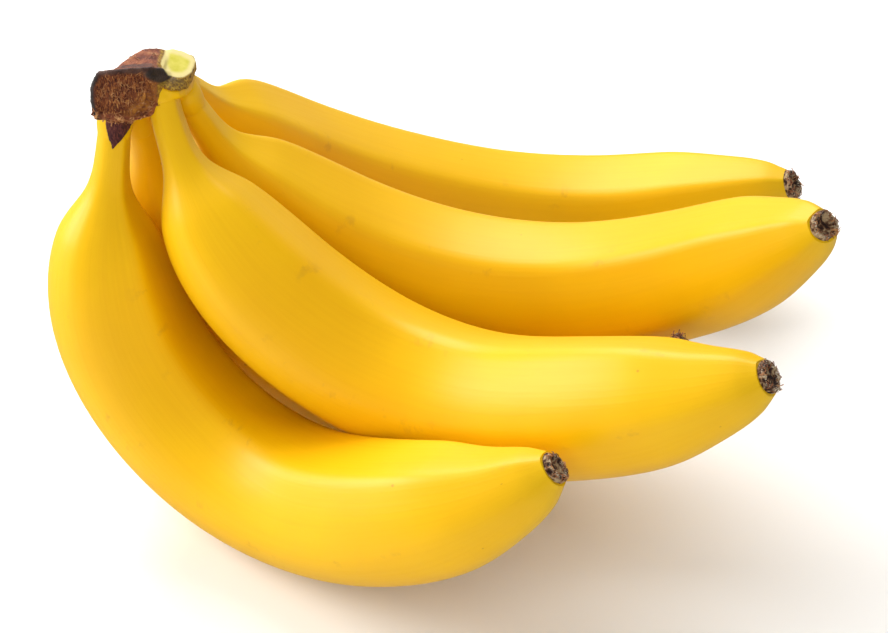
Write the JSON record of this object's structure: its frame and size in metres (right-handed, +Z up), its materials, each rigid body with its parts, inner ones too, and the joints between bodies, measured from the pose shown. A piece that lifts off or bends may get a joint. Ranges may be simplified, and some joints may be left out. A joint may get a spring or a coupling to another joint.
{
  "type": "bunch of bananas",
  "caption": "Small hand of ripe yellow bananas joined at a cut woody crown, lying on its bellies with the tips turned up.",
  "frame": {"origin": "on the surface that the hand lies on, under the middle of its bounding box", "axes": "+Z up, +X from the crown towards the tips, +Y towards the rear banana"},
  "size_m": [0.1758, 0.1642, 0.1068],
  "materials": {
    "banana_skin": "ripe banana skin, smooth and slightly waxy, with faint lengthwise fibres",
    "dried_crown": "dried, rough, fibrous woody tissue with one fresh pale cut",
    "dried_flower": "matt, crumpled, dried flower remains"
  },
  "bodies": {
    "root": {"crown": "dried_crown", "front_banana": "banana_skin", "front_banana_flower": "dried_flower", "second_banana": "banana_skin", "second_banana_flower": "dried_flower", "third_banana": "banana_skin", "third_banana_flower": "dried_flower", "rear_banana": "banana_skin", "rear_banana_flower": "dried_flower", "lower_banana": "banana_skin", "lower_banana_flower": "dried_flower"}
  },
  "joints": []
}
